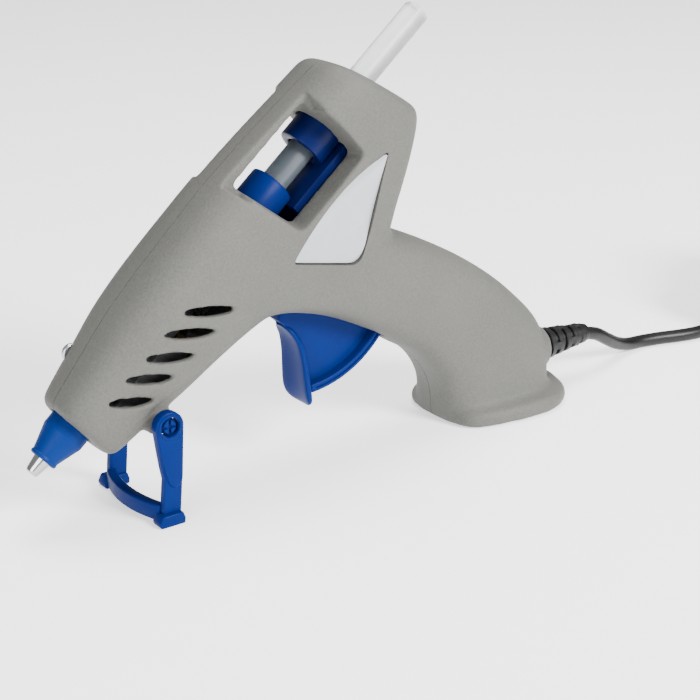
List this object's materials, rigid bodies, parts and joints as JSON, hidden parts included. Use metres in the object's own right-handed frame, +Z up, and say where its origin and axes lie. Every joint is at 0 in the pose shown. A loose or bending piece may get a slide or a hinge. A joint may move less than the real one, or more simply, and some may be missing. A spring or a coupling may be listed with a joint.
{
  "type": "glue gun",
  "caption": "Corded mini hot glue gun on its foot and fold-out stand, with side windows over the stick feed, a pull trigger, a rubber-booted nozzle, and its mains cord coiled beside it.",
  "frame": {"origin": "on the standing surface, under the middle of the gun without its cord", "axes": "+Z up from the standing surface; -X is where the nozzle points, +X is the handle and cord side; the gun is level across, with its left side at -Y"},
  "size_m": [0.3229, 0.0553, 0.1186],
  "materials": {
    "grey_plastic": "fine texture",
    "blue_plastic": "satin",
    "navy_plastic": "satin",
    "blue_rubber": "matte",
    "polished_steel": "polished",
    "steel": "plain",
    "aluminium": "cast",
    "brass": "plain",
    "satin_plate": "satin, no marks",
    "clear_glue": "translucent",
    "ceramic": "dull",
    "silicone": "matte",
    "black_plastic": "satin",
    "wire_sleeve": "woven"
  },
  "bodies": {
    "gun": {"housing_left": "grey_plastic", "housing_right": "grey_plastic", "badge_left": "satin_plate", "badge_right": "satin_plate", "housing_screw_1": "steel", "housing_screw_2": "steel", "housing_screw_3": "steel", "housing_screw_4": "steel", "housing_screw_5": "steel", "housing_screw_6": "steel", "housing_screw_7": "steel", "nozzle": "polished_steel", "nozzle_boot": "blue_rubber", "melt_chamber": "aluminium", "heater_element": "ceramic", "heater_terminal_upper": "brass", "heater_terminal_lower": "brass", "inlet_sleeve": "silicone", "sleeve_clamp": "steel", "front_guide": "blue_plastic", "trigger_pin": "steel", "return_spring": "steel", "stand_pin_left": "blue_plastic", "stand_pin_right": "blue_plastic", "strain_relief": "black_plastic", "cable_tail": "black_plastic", "cable_clamp": "black_plastic", "heater_lead_left": "wire_sleeve", "heater_lead_right": "wire_sleeve", "clamp_screw_1": "steel", "clamp_screw_2": "steel", "cord": "black_plastic", "cord_coil": "black_plastic", "coil_tie": "black_plastic", "cord_lead_out": "black_plastic", "plug": "black_plastic", "plug_pin_left": "polished_steel", "plug_pin_right": "polished_steel"},
    "trigger": {"trigger": "blue_plastic"},
    "carriage": {"carriage": "navy_plastic", "drive_pin": "steel", "clamp_jaw": "steel", "jaw_pin": "steel"},
    "glue_stick": {"glue_stick": "clear_glue"},
    "stand": {"stand": "blue_plastic"}
  },
  "joints": [
    {"name": "trigger_pull", "type": "hinge", "parent": "gun", "child": "trigger", "pos_m": [-0.00618, 0, 0.0517], "axis": [0, -1, 0], "range_deg": [0, 22], "stiffness_Nm_per_rad": 0.05, "springref_deg": -20.05, "deforming": ["return_spring"]},
    {"name": "carriage_feed", "type": "slide", "parent": "gun", "child": "carriage", "axis": [-0.7638, 0, -0.6455], "range_m": [0, 0.0052]},
    {"name": "stick_feed", "type": "slide", "parent": "gun", "child": "glue_stick", "axis": [-0.7638, 0, -0.6455], "range_m": [0, 0.0052]},
    {"name": "stand_fold", "type": "hinge", "parent": "gun", "child": "stand", "pos_m": [-0.05328, 0, 0.0262], "axis": [0, -1, 0], "range_deg": [0, 108]}
  ],
  "couplings": [
    {"joint": "carriage_feed", "follows": "trigger_pull", "m_per_rad": 0.01354},
    {"joint": "stick_feed", "follows": "trigger_pull", "m_per_rad": 0.01354}
  ]
}
